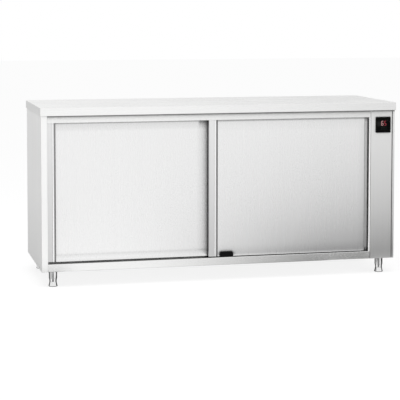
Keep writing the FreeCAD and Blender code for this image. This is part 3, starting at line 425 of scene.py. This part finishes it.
# Door track: a double channel of drawn aluminium hung from a sheet under the
# worktop. Rubber buffers in it stop the wheels at both ends of a door's travel.
dress("door_track", mottled("drawn aluminium", (0.78, 0.78, 0.8), 0.34, grain=80, patches=0.04))
dress("track_stops", mottled("buffer rubber", (0.03, 0.03, 0.03), 0.7, grain=400, patches=0.2, metallic=0))


# Bottom guide: a moulded black nylon block on the sill that keeps the foot of
# both doors in line. Its edges are rounded, and its front has a sunk panel.
def moulded(name, colour, roughness, grain, depth=0.1, gloss=0.5):
    """Moulded plastic or ceramic with the fine texture of its mould, rubbed here and there."""
    material, tree, place, surface = new_material(name)
    pits = noise(tree, place, grain, 5)
    rubbed = noise(tree, place, 30, 2)
    plug(tree, surface, {"Base Color": scaled(tree, colour, spread(tree, rubbed, 0.8, 1.25)),
                         "Roughness": spread(tree, rubbed, roughness - 0.08, roughness + 0.08),
                         "Normal": relief(tree, pits, depth, 0.0003), "Specular IOR Level": gloss})
    return material


black_nylon = moulded("black nylon", (0.003, 0.003, 0.0035), 0.5, 900, gloss=0.1)
shape = merged("bottom_guide")
front = min(face.calc_center_median().y for face in shape.faces)
panel = [face for face in shape.faces
         if face.calc_center_median().y < front + 0.0005 and face.normal.y < -0.9]
bmesh.ops.inset_region(shape, faces=panel, thickness=0.0045, depth=0)
bmesh.ops.inset_region(shape, faces=panel, thickness=0.0006, depth=-0.0009)
outer_edges = [edge for edge in shape.edges if edge.is_convex and edge.calc_face_angle(0) > SHARP_BEND]
rounded(shape, outer_edges, 0.0007, 2)
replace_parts(finished("bottom_guide_block", shape, "cabinet", "black_nylon", black_nylon), "bottom_guide")


# Controller: a square touch window of black glass bonded into the fascia over a
# plastic housing. Two red figures and faint touch marks are lit on its face,
# which carries a painted sheen at the left.
glass, tree, place, surface = new_material("controller glass")
glass_low, glass_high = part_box("controller_glass")
glass_x = (glass_low.x + glass_high.x) / 2
glass_z = (glass_low.z + glass_high.z) / 2
# A faint grey patch at the window's left: a painted sheen.
sheen_centre = (glass_x - 0.023, glass_low.y, glass_z + 0.006)
aside = add(tree, "VectorMath", {0: place, 1: sheen_centre}, operation="DISTANCE").outputs["Value"]
painted_sheen = spread(tree, aside, 0.022, 0.0025, 0.004, 0.019)
plug(tree, surface, {"Base Color": even_grey(tree, painted_sheen), "Specular IOR Level": 0.04,
                     "Roughness": spread(tree, noise(tree, place, 40, 3), 0.06, 0.14)})
shape = merged("controller_glass")
rounded(shape, [edge for edge in shape.edges if edge.calc_face_angle(0) > SHARP_BEND], 0.0006, 2)
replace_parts(finished("controller_window", shape, "cabinet", "controller_glass", glass), "controller_glass")
dress("controller_housing", moulded("black housing", (0.03, 0.03, 0.03), 0.5, 500))


def lit(name, colour, strength):
    """Print lit from behind, a little uneven."""
    material, tree, place, surface = new_material(name)
    uneven = spread(tree, noise(tree, place, 300, 1), 0.8, 1.1)
    plug(tree, surface, {"Emission Color": scaled(tree, colour, uneven), "Emission Strength": strength,
                         "Base Color": (0.01, 0.01, 0.01, 1), "Roughness": 0.2})
    return material


def bar(shape, x, z, width, height, slant=0):
    """Flat lit bar just over the window's face, slanted with the figures."""
    made = bmesh.ops.create_cube(shape, size=1)["verts"]
    bmesh.ops.scale(shape, verts=made, vec=(width, 0.0002, height))
    bmesh.ops.translate(shape, verts=made, vec=(0, 0, z))
    for corner in made:
        corner.co.x += x + slant * corner.co.z
    bmesh.ops.translate(shape, verts=made, vec=(glass_x, glass_low.y - 0.00015, glass_z))


SEGMENTS = {"6": "acdefg", "5": "acdfg"}
LEVEL_SEGMENTS = "agd"
places = {"a": (0, 1), "g": (0, 0), "d": (0, -1), "f": (-1, 0.5), "e": (-1, -0.5), "c": (1, -0.5)}
figure_width, figure_height, figure_level, stroke, lean = 0.0098, 0.0215, 0.0075, 0.0026, 0.06
figures = (("6", "first_figure", -0.0055, (1, 0.5, 0.5), 0.6),
           ("5", "second_figure", 0.0095, (1, 0.06, 0.1), 0.4))
for figure, name, centre, colour, glow in figures:
    shape = bmesh.new()
    for segment in SEGMENTS[figure]:
        side, level = places[segment]
        size = (stroke, figure_height / 2 - stroke)
        if segment in LEVEL_SEGMENTS:
            size = (figure_width - stroke, stroke)
        bar(shape, centre + side * figure_width / 2, figure_level + level * figure_height / 2, *size, lean)
    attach(finished(f"controller_{name}", shape, "cabinet", "controller_glass",
                     lit(name, colour, glow)), "cabinet")
marks_start, marks_apart = -0.009, 0.0085
mark_rows = ((-0.0125, 0.004, 0.0008), (-0.0225, 0.0045, 0.0006))      # level, width and height of the marks
shape = bmesh.new()
for step in range(4):
    for level, width, height in mark_rows:
        bar(shape, marks_start + step * marks_apart, level, width, height)
bar(shape, 0.024, 0.0225, 0.0018, 0.0018)
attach(finished("controller_touch_marks", shape, "cabinet", "controller_glass",
                 lit("faint touch marks", (0.25, 0.3, 0.27), 0.25)), "cabinet")


# Heated compartment: liners of mill-finish sheet round the inside, wool behind
# them, and one shelf on angles and a post. Heat has tinted the steel faintly.
liner_steel = brushed_steel("liner steel", (0.7, 0.695, 0.68), LENGTHWISE, 0.42, lines=0.08)
for node in ("liner_left", "back_liner", "floor_liner", "ceiling_liner", "partition"):
    dress(node, liner_steel)
shelf_steel = brushed_steel("shelf steel", (0.74, 0.735, 0.725), LENGTHWISE, 0.36, lines=0.12)
for node in ("shelf", "shelf_end_rails", "shelf_back_rail", "centre_post"):
    folded(node, shelf_steel, slot="inner_steel", radius=0.001)
for node in ("insulation_left", "insulation_back", "insulation_floor", "insulation_ceiling"):
    dress(node, wool)


# Heater set: a motor in the column turns a pressed wheel inside a ring element,
# behind a slotted cowl. Heat has browned the element and made the cowl straw.
cowl_steel = brushed_steel("cowl steel", (0.66, 0.62, 0.54), UPRIGHT, 0.4, lines=0.06)
folded("fan_cowl", cowl_steel, slot="inner_steel", radius=0.0008)
dress("fan_impeller", mottled("pressed aluminium", (0.7, 0.7, 0.71), 0.36, grain=50, patches=0.05))
dress("ring_heater", mottled("heater tube", (0.2, 0.16, 0.14), 0.5, grain=45, patches=0.3))
dress("fan_motor", mottled("motor enamel", (0.05, 0.05, 0.055), 0.4, grain=200, patches=0.1, metallic=0))
dress("motor_mount", zinc)


# Controls: a steel air probe that reaches into the compartment, a limit
# thermostat on the partition and a ceramic terminal block on the base.
dress("temperature_probe", mottled("probe steel", (0.7, 0.7, 0.69), 0.25, grain=90, patches=0.03))
ceramic = moulded("cream ceramic", (0.72, 0.67, 0.55), 0.55, 300, depth=0.2)
dress("limit_thermostat", ceramic)
dress("terminal_block", ceramic)


# Back: a service cover with louvres pressed out of it, held by four domed
# screws with crossed slots, and a black nylon cable gland below it.
UP, BACK = Vector((0, 0, 1)), Vector((0, 1, 0))


def spun(shape, profile, place, axis=UP, steps=72):
    """Turns a profile of radii and distances round an axis, and closes it at the axis."""
    corners = [shape.verts.new(place + Vector((radius, 0, 0)) + axis * along) for radius, along in profile]
    rims = [shape.edges.new(pair) for pair in zip(corners, corners[1:])]
    bmesh.ops.spin(shape, geom=corners + rims, cent=place, axis=axis, angle=2 * math.pi, steps=steps,
                   use_merge=True)
    bmesh.ops.remove_doubles(shape, verts=shape.verts, dist=SAME_PLACE)


def darkened_from(piece, first):
    """Puts a piece's faces from a first one on its second, dark material, which paints shade."""
    for face in piece.data.polygons[first:]:
        face.material_index = 1
    return piece


cover_low, cover_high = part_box("service_cover")
dress("service_cover", plain_steel)
cover_x = (cover_low.x + cover_high.x) / 2
hood_half, hood_height, hood_depth = 0.029, 0.0075, 0.0022
slit_half, slit_drop, slit_height = 0.027, 0.0006, 0.0016
louvres, first, last = 18, cover_low.z + 0.032, cover_high.z - 0.038
levels = [first + (last - first) * louvre / (louvres - 1) for louvre in range(louvres)]
shape = bmesh.new()
for level in levels:
    hood = bmesh.ops.create_grid(shape, x_segments=20, y_segments=7, size=1)["verts"]
    for vertex in hood:
        across, turn = vertex.co.x, (vertex.co.y + 1) / 2 * math.pi / 2
        out = hood_depth * math.sin(turn) * (1 - across ** 8)
        vertex.co = (cover_x + across * hood_half, cover_high.y + out, level + hood_height * math.cos(turn))
hoods_end = len(shape.faces)
# Dark quads just under each hood: painted shade where the slits open.
for level in levels:
    slit = bmesh.ops.create_grid(shape, x_segments=1, y_segments=1, size=1)["verts"]
    for vertex in slit:
        vertex.co = (cover_x + vertex.co.x * slit_half, cover_high.y + 0.0002,
                     level - slit_drop + vertex.co.y * slit_height / 2)
slit_shade = mottled("louvre slit painted shade", (0.02, 0.02, 0.02), 0.7, grain=300, patches=0.2, metallic=0)
hoods = finished("service_cover_hoods", shape, "cabinet", "outer_steel", plain_steel, slit_shade)
darkened_from(hoods, hoods_end)
thick = hoods.modifiers.new("sheet", "SOLIDIFY")
thick.thickness = 0.0006
thick.offset = 0

screw_steel = mottled("screw steel", (0.7, 0.7, 0.7), 0.3, grain=300, patches=0.05)
slot_shade = mottled("screw slot painted shade", (0.03, 0.03, 0.03), 0.6, grain=300, patches=0.2, metallic=0)
screws_low, screws_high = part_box("cover_screws")
head_radius, slot_length, slot_width = 0.003, 0.0036, 0.0007
heads = [Vector((x, screws_low.y, z)) for x in (screws_low.x + head_radius, screws_high.x - head_radius)
         for z in (screws_low.z + head_radius, screws_high.z - head_radius)]
dome = [(head_radius, 0), (head_radius, 0.0008), (0.0026, 0.0014), (0.0018, 0.0018), (0, 0.00193)]
shape = bmesh.new()
for head in heads:
    spun(shape, dome, head, BACK, 32)
heads_end = len(shape.faces)
# Dark bars just over each dome: the crossed slots as painted shade.
for head in heads:
    for width, height in ((slot_length, slot_width), (slot_width, slot_length)):
        arm = bmesh.ops.create_cube(shape, size=1)["verts"]
        bmesh.ops.scale(shape, verts=arm, vec=(width, 0.0004, height))
        bmesh.ops.translate(shape, verts=arm, vec=head + BACK * 0.00178)
screws = finished("cover_screw_heads", shape, "cabinet", "outer_steel", screw_steel, slot_shade)
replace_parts(darkened_from(screws, heads_end), "cover_screws")

gland_low, gland_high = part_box("cable_gland")
gland_face = Vector(((gland_low.x + gland_high.x) / 2, gland_high.y, (gland_low.z + gland_high.z) / 2))
nut_radius, sleeve_radius, hole_radius, hole_end, sleeve_end = 0.013, 0.011, 0.005, -0.013, -0.0139
shape = bmesh.new()
nut = bmesh.ops.create_cone(shape, cap_ends=True, segments=6, radius1=nut_radius, radius2=nut_radius,
                            depth=0.0032)["verts"]
bmesh.ops.rotate(shape, verts=nut, cent=(0, 0, 0), matrix=Matrix.Rotation(math.pi / 2, 3, "X"))
bmesh.ops.translate(shape, verts=nut, vec=gland_face - BACK * 0.0024)
rounded(shape, list(shape.edges), 0.0004, 2)
spun(shape, [(0.0105, -0.001), (0.0105, -0.0004), (0.0098, 0), (0.0062, 0), (hole_radius, -0.0006),
             (hole_radius, hole_end), (0, hole_end)], gland_face, BACK, 48)
spun(shape, [(sleeve_radius, -0.0038), (sleeve_radius, sleeve_end), (0, sleeve_end)], gland_face, BACK, 48)
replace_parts(finished("cable_gland_body", shape, "cabinet", "black_nylon", black_nylon), "cable_gland")


# Legs: a stainless sleeve welded under each corner of the base, and a turned
# foot that screws out of it on a threaded stem. Both are polished round.
leg_steel = mottled("leg steel", (0.8, 0.8, 0.8), 0.14, grain=70, patches=0.03)
bore, sleeve, flange, bore_top = 0.018, 0.02, 0.027, 0.07
tip, waist, collar, stem = 0.0217, 0.0173, 0.0192, 0.01768
waist_height, collar_height = 0.024, 0.0392
thread_start, thread_turns, thread_pitch, thread_depth = 0.041, 20, 0.0016, 0.0005
leg_places = {}


def bowed(start, end, bulge=0.0005, steps=8):
    """Points on a shallow curve between two points of a profile."""
    return [(start[0] + (end[0] - start[0]) * step / steps - bulge * math.sin(math.pi * step / steps),
             start[1] + (end[1] - start[1]) * step / steps) for step in range(steps + 1)]


for corner in ("front_left", "front_right", "rear_left", "rear_right"):
    low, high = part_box(f"leg_socket_{corner}")
    axis = Vector(((low.x + high.x) / 2, (low.y + high.y) / 2, 0))
    leg_places[corner] = axis
    shape = bmesh.new()
    spun(shape, [(bore, bore_top), (bore, low.z + 0.0006), (0.0185, low.z), (0.0194, low.z),
                 (sleeve, low.z + 0.0006), (sleeve, high.z - 0.005), (0.0206, high.z - 0.0036),
                 (0.0222, high.z - 0.003), (0.0266, high.z - 0.003), (flange, high.z - 0.0026),
                 (flange, high.z), (0, high.z)], axis)
    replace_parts(finished(f"leg_sleeve_{corner}", shape, "cabinet", "leg_steel", leg_steel),
                f"leg_socket_{corner}")
    shape = bmesh.new()
    low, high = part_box(f"foot_{corner}")
    neck = (waist, low.z + waist_height)
    thread = [(stem - thread_depth * (ring % 2), low.z + thread_start + ring * thread_pitch / 2)
              for ring in range(2 * thread_turns)]
    spun(shape, [(0, low.z), (0.0198, low.z), (0.0212, low.z + 0.0005), (tip, low.z + 0.0016)]
         + bowed((tip, low.z + 0.004), neck) + bowed(neck, (collar, low.z + collar_height))[1:]
         + [(0.019, low.z + 0.0397), (stem, low.z + 0.0397)] + thread + [(0.0165, high.z), (0, high.z)], axis)
    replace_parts(finished(f"turned_foot_{corner}", shape, f"foot_{corner}", "leg_steel", leg_steel),
                f"foot_{corner}")


# Floor and surroundings: a pale floor that runs to a white backdrop, a wide
# soft lamp above that no surface mirrors, and grey cards that only the steel
# mirrors, most of them just over the floor.
def stage_sheet(name, corners, material, shown=True):
    """Flat sheet of the stage between two corners of a rectangle and a third one."""
    origin, along, up = (Vector(corner) for corner in corners)
    shape = bmesh.new()
    made = bmesh.ops.create_grid(shape, x_segments=1, y_segments=1, size=0.5)["verts"]
    for vertex in made:
        share = (vertex.co.x + 0.5, vertex.co.y + 0.5)
        vertex.co = origin + (along - origin) * share[0] + (up - origin) * share[1]
    mesh = bpy.data.meshes.new(name)
    shape.to_mesh(mesh)
    shape.free()
    mesh.materials.append(material)
    piece = bpy.data.objects.new(name, mesh)
    bpy.context.scene.collection.objects.link(piece)
    if not shown:
        piece.visible_camera = False
        piece.visible_diffuse = False
        piece.visible_shadow = False
        piece.visible_transmission = False


def looked_at(tree):
    """1 for what the camera, a mirror or glass sees, 0 for light that falls."""
    path = tree.nodes.new("ShaderNodeLightPath").outputs
    seen = maths(tree, "MAXIMUM", path["Is Camera Ray"], path["Is Glossy Ray"])
    return maths(tree, "MAXIMUM", seen, path["Is Transmission Ray"])


def blended(tree, share, first, second):
    """Mix of two shaders."""
    return add(tree, "MixShader", {"Fac": share, 1: first.outputs[0], 2: second.outputs[0]}).outputs[0]


WHITE = (1, 1, 1, 1)
floor_paint, tree, place, surface = new_material("floor paint")
plug(tree, surface, {"Base Color": (0.82, 0.82, 0.82, 1), "Specular IOR Level": 0,
                     "Roughness": spread(tree, noise(tree, place, 60, 2), 0.55, 0.65)})
bright = add(tree, "Emission", {"Color": WHITE, "Strength": 1.29})
share = maths(tree, "MULTIPLY", looked_at(tree), 0.62)
plug(tree, tree.nodes["Material Output"], {"Surface": blended(tree, share, surface, bright)})
stage_sheet("floor", ((-30, -30, 0), (30, -30, 0), (-30, 30, 0)), floor_paint)

world = bpy.data.worlds.new("studio")
bpy.context.scene.world = world
world.use_nodes = True
tree = world.node_tree
tree.nodes.clear()
soft = add(tree, "Background", {"Color": WHITE, "Strength": 0.55})
backdrop = add(tree, "Background", {"Color": WHITE, "Strength": 1})
add(tree, "OutputWorld", {"Surface": blended(tree, looked_at(tree), soft, backdrop)})


def card(name, corners, strength):
    """Grey card that only reflections see."""
    material, tree, place = empty_material(name)
    glow = add(tree, "Emission", {"Color": WHITE, "Strength": value_at(tree, place, strength)})
    add(tree, "OutputMaterial", {"Surface": glow.outputs[0]})
    stage_sheet(name, corners, material, shown=False)


def flat_card(name, across, deep, level, strength):
    """Card that lies flat between two places across and two in depth."""
    left, right = across
    near, far = deep
    card(name, ((left, near, level), (right, near, level), (left, far, level)), strength)


EYE = Vector((-1.7, -6.82, 1.332))      # where the camera stands
FRONT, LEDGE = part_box("sill")[0].y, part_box("sill")[1].z


def floor_tone(tree, place):
    """Tone of the floor, set by where the cabinet's front mirrors each spot: darker low down at the right."""
    axes = axes_of(tree, place)
    share = maths(tree, "DIVIDE", FRONT - EYE.y, maths(tree, "SUBTRACT", 2 * FRONT - EYE.y, axes["Y"]))
    across = maths(tree, "MULTIPLY", maths(tree, "SUBTRACT", axes["X"], EYE.x), share)
    across = maths(tree, "ADD", across, EYE.x)
    height = maths(tree, "MULTIPLY", maths(tree, "SUBTRACT", 1, share), EYE.z)
    right = spread(tree, across, 0, 1.02, -0.5, 0.7, interpolation_type="SMOOTHSTEP")
    low = maths(tree, "POWER", spread(tree, height, 1, 0, 0, 1.066), 2.6)
    low = maths(tree, "MULTIPLY", low, spread(tree, height, 1.11, 1, 0.09, 0.114))
    tone = maths(tree, "SUBTRACT", 1.06, maths(tree, "MULTIPLY", right, low))
    column = spread(tree, across, 0, 0.24, 0.63, 0.88)
    return maths(tree, "SUBTRACT", tone, maths(tree, "MULTIPLY", column, maths(tree, "SUBTRACT", 1, low)))


def wall_tone(tree, place):
    """Pale at the left, greyer towards the right."""
    return spread(tree, axes_of(tree, place)["X"], 0.86, 0.5, -0.31, 4.78)


def left_tone(tree, place):
    """Greyer near the cabinet's foot."""
    return spread(tree, axes_of(tree, place)["Y"], 0.6, 0.72, 0.1, 2.9)


def rear_tone(tree, place):
    """Grey under the cabinet and close behind and beside it, paler further away."""
    axes = axes_of(tree, place)
    beside = maths(tree, "SUBTRACT", axes["X"], solid_box[1].x)
    behind = maths(tree, "SUBTRACT", axes["Y"], solid_box[1].y)
    return spread(tree, maths(tree, "MAXIMUM", beside, behind), 0.5, 0.88, 0, 3.2)


# Each card over the floor lies a little higher than the one that it overlaps.
DARK, BLACK = 0.03, 0.02
flat_card("rear card", (-0.95, 14), (-0.32, 22), 0.0008, rear_tone)
card("under card", ((-0.88, 0.15, 0.001), (0.88, 0.15, 0.001), (-0.88, 0.15, 0.0765)), DARK)
flat_card("floor card", (-9, 18), (-18, -0.32), 0.001, floor_tone)
flat_card("left card", (-12, -0.95), (-3, 22), 0.002, left_tone)
gap_x, gap_foot, gap_head = doors["right_door"][1].x + 0.0012, 0.1, 0.8
for name, near, far, strength in (("jamb card", -0.275, -0.257, 1.3), ("gap card", -0.257, -0.22, BLACK)):
    card(name, ((gap_x, near, gap_foot), (gap_x, far, gap_foot), (gap_x, near, gap_head)), strength)
clear = 0.0005
for door, end in (("left_door", -0.07), ("right_door", 0.76)):
    start, door_front = doors[door][0].xy
    flat_card("ledge card", (start, end), (FRONT + clear, door_front - clear), LEDGE + clear, 0.95)


def leg_tone(centre, towards, aside):
    """Grey values on the floor round a leg, by the angle from the side that faces the camera."""
    def strength(tree, place):
        arm = add(tree, "VectorMath", {0: place, 1: centre}, operation="SUBTRACT").outputs[0]
        along = add(tree, "VectorMath", {0: arm, 1: towards}, operation="DOT_PRODUCT").outputs["Value"]
        across = add(tree, "VectorMath", {0: arm, 1: aside}, operation="DOT_PRODUCT").outputs["Value"]
        angle = maths(tree, "ARCTAN2", maths(tree, "ABSOLUTE", across), along)
        angle = maths(tree, "DIVIDE", angle, math.pi)
        shade = add(tree, "ValToRGB", {"Fac": angle})
        stops = shade.color_ramp.elements
        stops.remove(stops[1])
        stops[0].color = (0.2, 0.2, 0.2, 1)
        for position, grey in ((0.12, 0.28), (0.19, 1), (0.4, 1), (0.45, BLACK)):
            stops.new(position).color = (grey, grey, grey, 1)
        away = add(tree, "VectorMath", {0: arm}, operation="LENGTH").outputs["Value"]
        return maths(tree, "MULTIPLY", shade.outputs[0], spread(tree, away, 0.02, 1.05, 0.042, 0.05))

    return strength


screen_half, screen_front, screen_back, screen_height = 0.054, 0.004, -0.06, 0.0755
for corner in ("front_left", "front_right"):
    centre = leg_places[corner] + UP * 0.0012
    towards = (EYE - centre) * Vector((1, 1, 0))
    towards.normalize()
    aside = Vector((towards.y, -towards.x, 0))
    flat_card("leg card", (centre.x - 0.25, centre.x + 0.25), (-0.62, centre.y), centre.z,
              leg_tone(centre, towards, aside))
    ring = [centre + aside * across + towards * along for across, along in
            ((screen_half, screen_front), (screen_half, screen_back), (-screen_half, screen_back),
             (-screen_half, screen_front))]
    card("leg screen", (ring[1], ring[2], ring[0]), BLACK)
    for start, end in zip(ring, ring[1:]):
        card("leg screen", (start, end, start + UP * screen_height), BLACK)
for corner in ("rear_left", "rear_right"):
    x = leg_places[corner].x
    flat_card("rear leg card", (x - 0.12, x + 0.12), (0.12, 0.36), 0.0013, DARK)
card("back card", ((-0.5, 8, 0.3), (18, 8, 0.3), (-0.5, 8, 3)), wall_tone)

lamp = bpy.data.lights.new("soft box", "AREA")
lamp.shape = "RECTANGLE"
lamp.size = 4
lamp.size_y = 2.5
lamp.energy = 55
lamp_place = bpy.data.objects.new("soft box", lamp)
lamp_place.matrix_world = Matrix.Translation((-0.8, -1.6, 3.6)) @ Matrix.Rotation(math.radians(28), 4, "X")
lamp_place.visible_glossy = False
bpy.context.scene.collection.objects.link(lamp_place)
bpy.context.scene.view_settings.view_transform = "Standard"


# Camera: at the photograph's angle. Its frame is shifted only as far as the
# object stays in the picture when it is looked at from other sides.
FOCAL_PIXELS, PICTURE_PIXELS = 1378.4, 400
TURN, TILT = -0.2298, -0.0648
camera = bpy.data.cameras.new("camera")
camera.sensor_width = 36
camera.lens = FOCAL_PIXELS / PICTURE_PIXELS * camera.sensor_width
camera.shift_x = 0.028
camera.shift_y = -0.25
camera.clip_end = 100
viewer = bpy.data.objects.new("camera", camera)
viewer.matrix_world = (Matrix.Translation(EYE) @ Matrix.Rotation(TURN, 4, "Z")
                       @ Matrix.Rotation(math.pi / 2 + TILT, 4, "X"))
bpy.context.scene.collection.objects.link(viewer)
bpy.context.scene.camera = viewer
